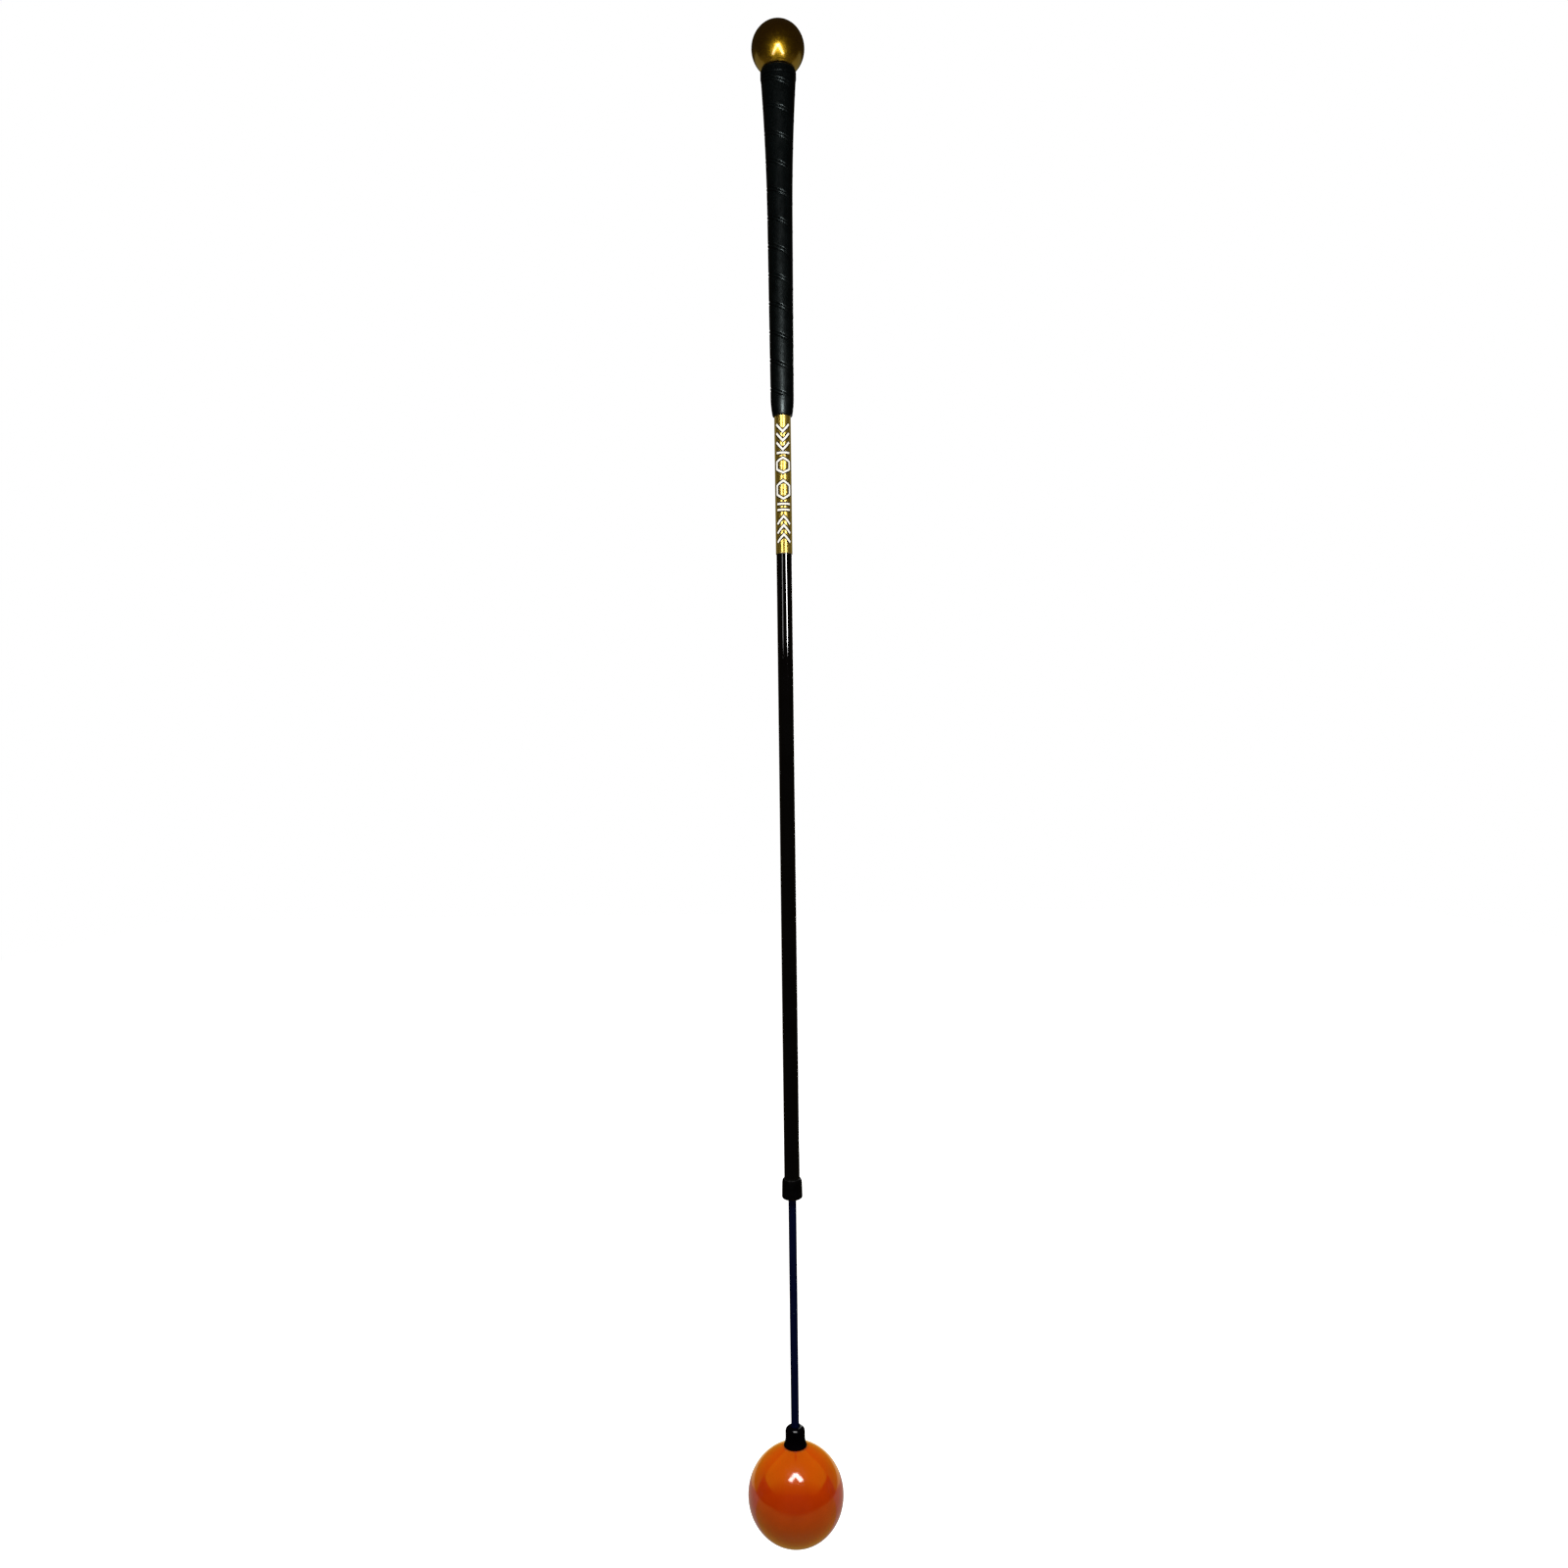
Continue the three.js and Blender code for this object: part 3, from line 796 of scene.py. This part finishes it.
def walked(path, closed):
    """The path in metres (across, height), with points close enough together to wrap round the stick."""
    top = high("label_sleeve") - PRINT_TOP
    corners = [Vector((across * MM, top - down * MM)) for across, down in path]
    points = []
    ends = corners[1:] + corners[:1] if closed else corners[1:]
    for a, b in zip(corners, ends):
        steps = math.ceil((b - a).length / PRINT_STEP)
        points += [a.lerp(b, i / steps) for i in range(steps)]
    return points if closed else points + [corners[-1]]


def mitre(points, i, closed):
    """Across the path at one of its points, stretched so that both sides stay parallel at a corner."""
    count = len(points)
    before = points[i - 1] if i or closed else points[0] * 2 - points[1]
    after = points[(i + 1) % count] if i < count - 1 or closed else points[-1] * 2 - points[-2]
    into = (points[i] - before).normalized()
    out = (after - points[i]).normalized()
    along = (into + out).normalized()
    return Vector((-along.y, along.x)) / along.dot(out)


def ribbon(mesh, path, closed, half_width, inner, outer):
    """A strip with a box section that follows a path round the stick."""
    around = radius("label_sleeve")
    points = walked(path, closed)
    sections = []
    for i, point in enumerate(points):
        side = mitre(points, i, closed)
        shares = [2 * j / PRINT_COLUMNS - 1 for j in range(PRINT_COLUMNS + 1)]
        spread = [point + side * half_width * share for share in shares]
        loop = [(spot, outer) for spot in spread] + [(spot, inner) for spot in reversed(spread)]
        section = []
        for spot, across in loop:
            angle = FRONT + spot.x / around
            section.append(mesh.verts.new((across * math.cos(angle), across * math.sin(angle), spot.y)))
        sections.append(section)
    following = sections[1:] + sections[:1] if closed else sections[1:]
    for first, second in zip(sections, following):
        for j in range(len(first)):
            k = (j + 1) % len(first)
            mesh.faces.new((first[j], first[k], second[k], second[j]))
    if not closed:
        mesh.faces.new(sections[0])
        mesh.faces.new(sections[-1])


def label_print():
    """White strokes, which glow with painted brightness, on wider black ones, printed on the foil."""
    foil = radius("label_sleeve")
    layers = (
        ("label_print_outline", "print_black", 1.50 * MM, -0.03 * MM, 0.03 * MM),
        ("label_print_strokes", "white_print_painted_glow", 0.72 * MM, 0.01 * MM, 0.06 * MM),
    )
    for name, material, half_width, inner, outer in layers:
        mesh = bmesh.new()
        for path, closed in print_paths():
            ribbon(mesh, path, closed, half_width, foil + inner, foil + outer)
        made = finish_piece(add_object(name, mesh), "gold_foil", (), material)
        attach(made, "handle")


def pipe(name, inner, outer, bottom, top, steps):
    """A round pipe or bar with rings all along it, so that it can bend."""
    bevel = 0.15 * MM
    outside = [(outer, bottom + bevel)] + divided((outer, bottom + bevel), (outer, top - bevel), steps)
    outside += [(outer, top - bevel), (outer - bevel, top)]
    inside = [(inner, top)]
    if inner > AXIS:
        inside += divided((inner, top), (inner, bottom), steps)
    inside += [(inner, bottom)]
    return spin(name, [*inside, (outer - bevel, bottom), *outside], PIPE_SIDES)


def bend_across(piece):
    """Bakes the piece's placement into its mesh; nothing here makes it bend."""
    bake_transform(piece)


def shaft_tube():
    """Two lengths that meet half way down the bare tube."""
    bore = radius("rod_guide_bush") + SLIP
    middle = (low("label_sleeve") + high("tube_end_cap")) / 2
    upper = pipe("shaft_tube_upper", bore, TUBE_RADIUS, middle, high("shaft_tube"), steps=90)
    lower = pipe("shaft_tube_lower", bore, TUBE_RADIUS, low("shaft_tube"), middle, steps=60)
    finish_piece(upper, "black_gloss", ["shaft_tube"])
    finish_piece(lower, "black_gloss")
    bend_across(upper)
    bend_across(lower)


def tube_end_cap():
    bottom, top = low("tube_end_cap"), high("tube_end_cap")
    across = radius("tube_end_cap")
    hole = ROD_RADIUS + FIT
    socket = TUBE_RADIUS + FIT
    floor_top = low("shaft_tube") - 0.2 * MM  # the tube's end stands just clear of the floor
    floor_edge = 1.8 * MM
    chamfer = 0.3 * MM
    shoulder_height = 3.4 * MM
    shoulder_width = 1.1 * MM
    neck = across - 0.2 * MM
    outline = [
        (hole, bottom + chamfer),
        (hole + chamfer, bottom),
        *arc((across - floor_edge, bottom + floor_edge), floor_edge, floor_edge, -90, 0, 12),
        *arc((neck - shoulder_width, top - shoulder_height), shoulder_width, shoulder_height, 0, 90, 14),
        (socket, top),
        (socket, floor_top),
        (hole, floor_top),
    ]
    made = finish_piece(spin("tube_end_cap_round", outline), "black_plastic", ["tube_end_cap"])
    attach(made, "tip")


def flex_rod():
    """Two lengths that meet half way down the bare rod."""
    middle = (low("tube_end_cap") + high("head_ferrule")) / 2
    upper = pipe("flex_rod_upper", 0, ROD_RADIUS, middle, high("flex_rod"), steps=60)
    lower = pipe("flex_rod_lower", 0, ROD_RADIUS, low("flex_rod"), middle, steps=50)
    finish_piece(upper, "rod_glass_fibre", ["flex_rod"])
    finish_piece(lower, "rod_glass_fibre")
    bend_across(upper)
    bend_across(lower)


# ---- Head ----


def head_ferrule():
    bottom, top = low("head_ferrule"), high("head_ferrule")
    skirt = radius("head_ferrule")
    hole = ROD_RADIUS + FIT
    body = 7.05 * MM
    dome_top = 3.65 * MM
    dome_height = 3.4 * MM
    skirt_height = 6 * MM
    rim = 0.5 * MM

    def skirt_radius(height):
        down = (bottom + skirt_height - height) / (skirt_height - rim)
        return body + (skirt - body) * down**2

    outline = [
        (hole, bottom),
        (skirt - rim * 0.6, bottom),
        *arc((skirt - rim * 0.5, bottom + rim * 0.5), rim * 0.5, rim * 0.5, -60, 0, 4),
        *curve(skirt_radius, bottom + rim, bottom + skirt_height, 12),
        *arc((dome_top, top - dome_height), body - dome_top, dome_height, 0, 90, 16),
        (hole + 0.2 * MM, top),
        (hole, top - 0.2 * MM),
    ]
    made = finish_piece(spin("head_ferrule_round", outline), "black_gloss", ["head_ferrule"], "ferrule_black")
    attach(made, "head")


HEAD_STEPS = 120  # rings from the head's lowest point to its boss
FILLET_ANGLE = 8  # degrees over which the fillet at the boss fades out


def head_outside(ball, centre, boss, boss_top):
    """The ball from its lowest point to the boss. It grows a little near the boss, as a fillet."""
    boss_angle = math.degrees(math.atan2(boss, boss_top - centre))
    proud = math.hypot(boss, boss_top - centre) - ball
    points = [(0, centre - ball)]
    for i in range(1, HEAD_STEPS + 1):
        from_top = 180 - (180 - boss_angle) * i / HEAD_STEPS
        distance = ball + proud * math.exp((boss_angle - from_top) / FILLET_ANGLE)
        angle = math.radians(from_top)
        points.append((distance * math.sin(angle), centre + distance * math.cos(angle)))
    return points


def head_shell():
    """The orange shell, hollow round the weight, the socket's flange and the socket."""
    ball = radius("head_shell")
    centre = low("head_shell") + ball
    boss = 8.6 * MM
    boss_top = high("head_shell")
    socket = 4.6 * MM
    flange = radius("rod_socket")
    flange_thickness = 2 * MM
    core = radius("head_weight_core")
    play = 0.5 * MM  # round the core, and round the flange on the core's flat
    cavity = core + play
    recess = flange + FIT
    flange_seat = centre + math.sqrt(core**2 - (flange + play) ** 2)
    recess_top = flange_seat + flange_thickness + 0.4 * MM
    edge = 0.3 * MM
    outside = head_outside(ball, centre, boss, boss_top)
    recess_angle = math.degrees(math.acos(recess / cavity))
    outline = [
        *outside[:-1],
        (boss - edge * 0.2, boss_top - edge * 0.4),
        (boss - edge, boss_top),
        (socket + FIT + edge, boss_top),
        (socket + FIT, boss_top - edge),
        (socket + FIT, recess_top),
        (recess, recess_top),
        *arc((0, centre), cavity, cavity, recess_angle, -90, 40)[:-1],
        (0, centre - cavity),
    ]
    made = finish_piece(spin("head_shell_orange", outline, HEAD_SIDES), "orange_gloss", ["head_shell"])
    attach(made, "head")


# ---- CAD nodes that stay as they are, with better materials ----

KEPT_NODES = {
    "counterweight_stud": "bright_steel",
    "butt_anchor": "bright_steel",
    "grip_underlisting": "grip_core_rubber",
    "grip_tape": "grip_tape_paper",
    "rod_guide_bush": "bush_plastic",
    "rod_inner_bush": "bush_plastic",
    "head_weight_core": "core_iron",
    "rod_socket": "bright_steel",
    "lock_washer": "bright_steel",
    "lock_nut": "bright_steel",
}


def dress_kept_nodes():
    """Gives the CAD nodes that no piece replaces their materials."""
    for name, material in KEPT_NODES.items():
        for material_slot in frame["nodes"][name].material_slots:
            material_slot.material = MATERIALS[material]


# ---- Camera ----

CAMERA_PLACE = (-0.0022, -0.864, -0.3884)  # about level with the middle of the stick
CAMERA_ROLL = 0.72  # degrees: the stick's top leans left in the photograph
CAMERA_LENS = 27.56  # millimetres, like the sensor's width
CAMERA_SENSOR = 36


def camera():
    data = bpy.data.cameras.new("camera")
    data.lens = CAMERA_LENS
    data.sensor_width = CAMERA_SENSOR
    data.clip_start = 0.01
    made = bpy.data.objects.new("camera", data)
    made.location = CAMERA_PLACE
    made.rotation_euler = (math.radians(90), math.radians(CAMERA_ROLL), 0)
    bpy.context.scene.collection.objects.link(made)
    bpy.context.scene.camera = made


# ---- Lights: each piece's gloss has its own, and soft ones shade the whole stick ----

WHITE = (1, 1, 1)


def seen_by(made, camera=False, diffuse=False, glossy=False):
    """Says which rays meet a light or a stage object."""
    made.visible_camera = camera
    made.visible_diffuse = diffuse
    made.visible_glossy = glossy
    made.visible_transmission = False
    made.visible_shadow = False


def area_light(name, place_at, along, out, size, radiance, colour):
    """A rectangle of light. Its first size runs along, and it shines away from out."""
    side = out.cross(along)
    data = bpy.data.lights.new(name, "AREA")
    data.shape = "RECTANGLE"
    data.size, data.size_y = size
    data.energy = radiance * math.pi * size[0] * size[1]
    data.color = colour
    made = bpy.data.objects.new(name, data)
    turned = Matrix((along, side, out)).transposed().to_4x4()
    made.matrix_world = Matrix.Translation(place_at) @ turned
    bpy.context.scene.collection.objects.link(made)
    return made


def strip_light(name, start, end, width, radiance):
    """A lamp tube from start to end, facing the stick, that shows only as a highlight."""
    a, b = Vector(start), Vector(end)
    middle = (a + b) / 2
    along = (b - a).normalized()
    away = Vector((middle.x, middle.y, 0)).normalized()
    out = (away - along * away.dot(along)).normalized()
    made = area_light(name, middle, along, out, ((b - a).length, width), radiance, WHITE)
    seen_by(made, glossy=True)
    return made


def soft_light(name, place_at, target, size, radiance, colour):
    """A broad light that shades the stick without showing as a highlight."""
    out = (Vector(place_at) - Vector(target)).normalized()
    along = Vector((0, 0, 1)).cross(out).normalized()
    made = area_light(name, Vector(place_at), along, out, size, radiance, colour)
    seen_by(made, diffuse=True)


def link_light(light, names):
    """Makes a light reach only these pieces."""
    group = bpy.data.collections.new(light.name + "_pieces")
    for name in names:
        group.objects.link(bpy.data.objects[name])
    for item in group.collection_objects:
        item.light_linking.link_state = "INCLUDE"
    light.light_linking.receiver_collection = group


def gloss_light(name, place_at, facing, size, radiance, colour, pieces):
    """A level or upright panel of light that shows only in the gloss of some pieces."""
    out = -Vector(facing).normalized()
    made = area_light(name, Vector(place_at), Vector((1, 0, 0)), out, size, radiance, colour)
    seen_by(made, glossy=True)
    link_light(made, pieces)


GRIP_PIECES = ("grip_end_cap_round", "grip_wrap_spiral", "grip_mouth_collar_round")
TUBE_PIECES = ("shaft_tube_upper", "shaft_tube_lower")
CAP_PIECES = ("tube_end_cap_round", "flex_rod_upper", "flex_rod_lower")
HEAD_PIECES = ("head_shell_orange",)
FERRULE_PIECES = ("head_ferrule_round",)
GOLD_PIECES = ("counterweight_ball_gold", "label_sleeve_foil")
BLACK_PIECES = GRIP_PIECES + TUBE_PIECES + CAP_PIECES + FERRULE_PIECES
FLOOR_DROP = 0.09  # the stick is held up, so its head hangs above the floor
FLOOR_HEIGHT = low("head_shell") - FLOOR_DROP

# The photograph's highlights are those of two lamps in an inverted V: (left foot, apex, right foot).
# They fit best with the lamps a little apart for different pieces, so each group has its own pair.
SHAFT_LAMPS = ((-0.245, -0.360, -0.240), (0, -0.296, 0.136), (0.240, -0.360, -0.240))
GOLD_LAMPS = ((-0.228, -0.360, -0.302), (0, -0.296, 0.074), (0.223, -0.360, -0.302))
HEAD_LAMPS = ((-0.152, -0.360, -0.380), (0, -0.296, -0.119), (0.150, -0.360, -0.380))


def lamps(name, pieces, corners, widths, radiances):
    """The pair of lamps as some pieces mirror them, with (left, right) widths and radiances."""
    left_foot, apex, right_foot = corners
    left = strip_light(f"{name}_lamp_left", left_foot, apex, widths[0], radiances[0])
    right = strip_light(f"{name}_lamp_right", apex, right_foot, widths[1], radiances[1])
    for lamp in (left, right):
        link_light(lamp, pieces)


PANEL_GAP = 2 * MM  # between panels that overlap, so that a ray meets each of them

# The head's room, in metres. Its ceiling and its front floor fade out towards the camera, since
# their panels overlap and each one reaches further forward than the last.
HEAD_CEILING_HEIGHT = -0.3
HEAD_CEILING_ENDS = (-0.35, -0.45, -0.55, -0.7, -0.9, -1.2)
HEAD_FLOOR_ENDS = (-0.38, -0.46, -0.56, -0.7)
HEAD_FLOOR_MIDDLE = 0.06
HEAD_FLOOR_FAR = 1.2
HEAD_WALL_PLACE = 0.35
HEAD_WARM = (1.0, 0.80, 0.02)


def head_room():
    """What the orange ball mirrors: a warm ceiling and wall behind, a floor, and darkness in front."""
    for number, near in enumerate(HEAD_CEILING_ENDS):
        middle, depth = (near + HEAD_WALL_PLACE) / 2, HEAD_WALL_PLACE - near
        place_at = (0, middle, HEAD_CEILING_HEIGHT + number * PANEL_GAP)
        size = (3.0, depth)
        gloss_light(f"head_ceiling_{number}", place_at, (0, 0, -1), size, 0.16, HEAD_WARM, HEAD_PIECES)
    wall_middle = (0, HEAD_WALL_PLACE, (HEAD_CEILING_HEIGHT + FLOOR_HEIGHT) / 2)
    wall_size = (2.4, HEAD_CEILING_HEIGHT - FLOOR_HEIGHT)
    gloss_light("head_wall", wall_middle, (0, -1, 0), wall_size, 0.45, HEAD_WARM, HEAD_PIECES)
    for number, near in enumerate(HEAD_FLOOR_ENDS):
        middle, depth = (near + HEAD_FLOOR_MIDDLE) / 2, HEAD_FLOOR_MIDDLE - near
        place_at = (0, middle, FLOOR_HEIGHT - number * PANEL_GAP)
        size, colour = (1.6, depth), (1.0, 0.84, 0.15)
        gloss_light(f"head_floor_front_{number}", place_at, (0, 0, 1), size, 0.09, colour, HEAD_PIECES)
    back_middle = (0, (HEAD_FLOOR_MIDDLE + HEAD_FLOOR_FAR) / 2, FLOOR_HEIGHT)
    back_size = (1.6, HEAD_FLOOR_FAR - HEAD_FLOOR_MIDDLE)
    gloss_light("head_floor_back", back_middle, (0, 0, 1), back_size, 0.40, (1.0, 0.80, 0.66), HEAD_PIECES)


def gold_room():
    """What the gold pieces mirror: a dim floor and a paler wall behind."""
    near, far = -0.5, 5
    floor_middle = (0, (near + far) / 2, FLOOR_HEIGHT)
    gloss_light("gold_floor", floor_middle, (0, 0, 1), (6, far - near), 0.05, (1.0, 0.80, 0.25), GOLD_PIECES)
    top = 0.2
    wall_middle = (0, 0.3, (top + FLOOR_HEIGHT) / 2)
    wall_size = (2, top - FLOOR_HEIGHT)
    gloss_light("gold_wall", wall_middle, (0, -1, 0), wall_size, 0.19, (1.0, 0.95, 0.45), GOLD_PIECES)


# Pairs of lamps: (name, pieces that mirror them, corners, widths, radiances).
LAMP_PAIRS = (
    ("gold", ("counterweight_ball_gold",), GOLD_LAMPS, (0.066, 0.072), (6.5, 9)),
    ("foil", ("label_sleeve_foil",), SHAFT_LAMPS, (0.060, 0.065), (10, 13)),
    ("tube", TUBE_PIECES, SHAFT_LAMPS, (0.045, 0.045), (6, 60)),
    ("cap", CAP_PIECES, SHAFT_LAMPS, (0.050, 0.055), (8, 12)),
    ("head", HEAD_PIECES, HEAD_LAMPS, (0.115, 0.125), (16, 18)),
)

# Other panels: (name, place, direction faced, (width, height), radiance, colour, pieces).
GLOSS_PANELS = (
    ("grip_sheen", (0.01, -0.4, -0.118), (0, 1, 0), (0.06, 0.12), 145, (0.85, 1.0, 1.0), GRIP_PIECES),
    ("ferrule_spark", (0, -0.2, -0.51), (0, 0.5, -0.87), (0.22, 0.2), 42, WHITE, FERRULE_PIECES),
    ("back_window", (0.25, 1.1, -0.3), (0, -1, 0), (0.25, 1.4), 5, WHITE, BLACK_PIECES),
)

# Soft lights: (name, place, target, (width, height), radiance, colour).
SOFT_LIGHTS = (
    ("key", (0.0, -0.75, 0.9), (0, 0, -0.6), (1.4, 1.0), 4.4, (1.0, 0.97, 0.92)),
    ("fill", (0.0, -1.1, -0.8), (0, 0, -0.5), (1.6, 1.2), 0.28, WHITE),
    ("back", (0.0, 1.2, 0.4), (0, 0, -0.4), (1.6, 1.6), 1.1, WHITE),
    ("side_left", (-0.55, 0.12, -0.9), (0, 0, -0.9), (0.4, 0.4), 0.7, WHITE),
    ("side_right", (0.55, 0.12, -0.9), (0, 0, -0.9), (0.4, 0.4), 0.75, WHITE),
    ("under", (0, -0.1, -1.6), (0, 0, -0.9), (0.6, 0.6), 0.9, (1.0, 0.9, 0.8)),
)


def lights():
    for pair in LAMP_PAIRS:
        lamps(*pair)
    for panel in GLOSS_PANELS:
        gloss_light(*panel)
    head_room()
    gold_room()
    for light in SOFT_LIGHTS:
        soft_light(*light)


# ---- World and stage ----


def world():
    """Plain white to the camera, and a dim warm room to everything else."""
    made = bpy.data.worlds.new("world")
    made.use_nodes = True
    tree = made.node_tree
    tree.nodes.clear()
    seen = node(tree, "ShaderNodeBackground", {"Color": (1, 1, 1, 1), "Strength": 1.0})
    room = node(tree, "ShaderNodeBackground", {"Color": (0.9, 0.62, 0.32, 1), "Strength": 0.026})
    path = node(tree, "ShaderNodeLightPath")
    inputs = {0: path.outputs["Is Camera Ray"], 1: room.outputs[0], 2: seen.outputs[0]}
    both = node(tree, "ShaderNodeMixShader", inputs)
    node(tree, "ShaderNodeOutputWorld", {"Surface": both.outputs[0]})
    bpy.context.scene.world = made


def pale_floor():
    """Matt and pale, with an even white glow, so that the floor is as plain as the background."""
    tree = new_tree("pale_floor")
    base = ramp(tree, noise(tree, 0.3, 3), [(0.3, (0.864, 0.864, 0.864)), (0.7, (0.9, 0.9, 0.9))])
    roughness = remap(tree, noise(tree, 0.05, 3), (0, 1), (0.7, 0.9))
    normal = bump(tree, noise(tree, 0.004, 2), 0.1 * MM)
    made = surface("pale_floor", base, roughness, normal, Emission_Strength=1.0)
    tree.nodes["Principled BSDF"].inputs["Emission Color"].default_value = (1, 1, 1, 1)
    return made


def stage():
    """The pale floor. The room that shows in the gloss is made of lights."""
    wide, near, far = 3, -3, 5
    corners = ((-wide, near), (wide, near), (wide, far), (-wide, far))
    mesh = bmesh.new()
    mesh.faces.new([mesh.verts.new((x, y, FLOOR_HEIGHT)) for x, y in corners])
    floor = add_object("floor", mesh)
    floor.data.materials.append(pale_floor())
    seen_by(floor, camera=True)


# ---- Everything, in order ----

camera()
world()
stage()

counterweight_ball()
counterweight_washer()
grip_end_cap()
grip_wrap()
grip_mouth_collar()
label_sleeve()
label_print()
shaft_tube()
tube_end_cap()
flex_rod()
head_ferrule()
head_shell()
dress_kept_nodes()
lights()

bpy.context.scene.view_settings.view_transform = "Standard"
